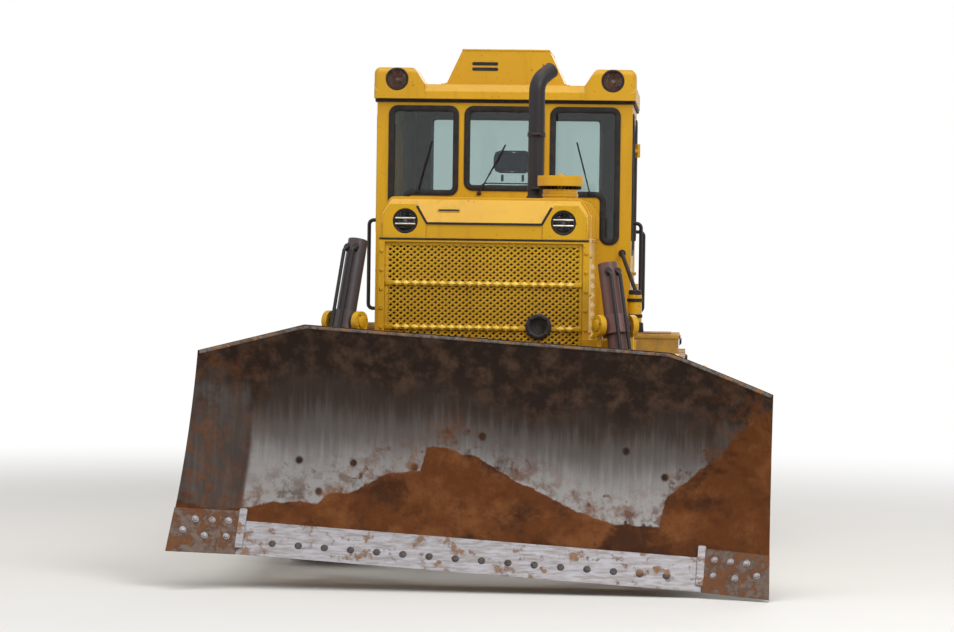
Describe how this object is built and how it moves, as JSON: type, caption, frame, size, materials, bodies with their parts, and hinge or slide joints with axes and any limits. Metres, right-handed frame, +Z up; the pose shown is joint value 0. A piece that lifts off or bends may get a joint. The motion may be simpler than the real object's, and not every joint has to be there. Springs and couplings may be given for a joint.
{
  "type": "bulldozer",
  "caption": "Crawler bulldozer with a wide curved blade on side push arms, two lift cylinders, hood with pierced grille and a closed cab with two doors.",
  "frame": {"origin": "On the ground, under the middle of the whole machine as it parks, on its middle plane", "axes": "+Z up, -Y is forward to the blade, +Y back along the length, +X to the machine's left side"},
  "size_m": [3.3771, 5.2895, 3.22],
  "materials": {
    "yellow_paint": "satin, dusty and worn",
    "dark_paint": "matt",
    "worn_steel": "worn bright with soil stuck to it",
    "edge_steel": "ground bright by use",
    "track_steel": "dusty, worn",
    "cylinder_paint": "satin, dirty",
    "chrome_rod": "polished",
    "clear_glass": "clear",
    "lamp_glass": "ribbed lens",
    "rubber_mount": "matt",
    "seat_cloth": "woven, dark blue",
    "dark_plastic": "grained",
    "cooler_metal": "finned, dusty"
  },
  "bodies": {
    "machine": {"air_cleaner": "yellow_paint", "belly_guards": "dark_paint", "cab_floor": "dark_paint", "cab_front_wall": "yellow_paint", "cab_glass": "clear_glass", "cab_mounts": "rubber_mount", "cab_rear_wall": "yellow_paint", "cab_roof": "yellow_paint", "cab_side_left": "yellow_paint", "cab_side_right": "yellow_paint", "canister": "yellow_paint", "consoles": "dark_plastic", "cooler_core": "cooler_metal", "cylinder_yokes": "yellow_paint", "dash": "dark_plastic", "drawbar": "dark_paint", "engine_block": "dark_paint", "equalizer_bar": "dark_paint", "exhaust_stack": "dark_paint", "fender_boxes": "yellow_paint", "fender_left": "yellow_paint", "fender_right": "yellow_paint", "final_drives": "yellow_paint", "front_lamps": "lamp_glass", "fuel_tank": "yellow_paint", "grille": "yellow_paint", "hood_nose": "yellow_paint", "hood_sides": "yellow_paint", "hood_top": "yellow_paint", "idlers": "track_steel", "main_frame": "dark_paint", "radiator_guard": "yellow_paint", "rear_case": "yellow_paint", "rollers": "track_steel", "roof_lamps": "lamp_glass", "roof_vent": "yellow_paint", "seat_cushions": "seat_cloth", "seat_pedestal": "dark_plastic", "sprockets": "track_steel", "track_frame_left": "yellow_paint", "track_frame_right": "yellow_paint", "track_left": "track_steel", "track_right": "track_steel"},
    "blade": {"moldboard": "worn_steel", "cutting_edge": "edge_steel", "end_bits": "edge_steel", "blade_back": "yellow_paint", "push_arm_left": "yellow_paint", "push_arm_right": "yellow_paint", "blade_braces": "yellow_paint", "blade_stays": "yellow_paint"},
    "barrel_left": {"lift_barrel_left": "cylinder_paint"},
    "barrel_right": {"lift_barrel_right": "cylinder_paint"},
    "rod_left": {"lift_rod_left": "chrome_rod"},
    "rod_right": {"lift_rod_right": "chrome_rod"},
    "door_left_body": {"door_left": "yellow_paint", "door_glass_left": "clear_glass"},
    "door_right_body": {"door_right": "yellow_paint", "door_glass_right": "clear_glass"}
  },
  "joints": [
    {"name": "blade_lift", "type": "hinge", "parent": "machine", "child": "blade", "pos_m": [0, 0.76479, 0.5], "axis": [-1, 0, 0], "range_deg": [-5, 11]},
    {"name": "lift_barrel_left", "type": "hinge", "parent": "machine", "child": "barrel_left", "pos_m": [0.79, -1.72521, 1.49], "axis": [0.866, 0.5, 0], "range_deg": [-9.27, 4.32]},
    {"name": "lift_rod_left", "type": "slide", "parent": "barrel_left", "child": "rod_left", "axis": [0.1436, -0.2131, -0.9664], "range_m": [-0.5057, 0.2315]},
    {"name": "door_left", "type": "hinge", "parent": "machine", "child": "door_left_body", "pos_m": [0.85, 1.55679, 1.33], "axis": [0, 0, 1], "range_deg": [0, 100]},
    {"name": "lift_barrel_right", "type": "hinge", "parent": "machine", "child": "barrel_right", "pos_m": [-0.79, -1.72521, 1.49], "axis": [0.866, -0.5, 0], "range_deg": [-9.75, 4.54]},
    {"name": "lift_rod_right", "type": "slide", "parent": "barrel_right", "child": "rod_right", "axis": [-0.1234, -0.2366, -0.9637], "range_m": [-0.5087, 0.2329]},
    {"name": "door_right", "type": "hinge", "parent": "machine", "child": "door_right_body", "pos_m": [-0.85, 1.55679, 1.33], "axis": [0, 0, -1], "range_deg": [0, 100]}
  ],
  "couplings": [
    {"joint": "lift_barrel_left", "follows": "blade_lift", "ratio": -0.82484},
    {"joint": "lift_rod_left", "follows": "blade_lift", "m_per_rad": -2.6182},
    {"joint": "lift_barrel_right", "follows": "blade_lift", "ratio": -0.86839},
    {"joint": "lift_rod_right", "follows": "blade_lift", "m_per_rad": -2.634}
  ]
}
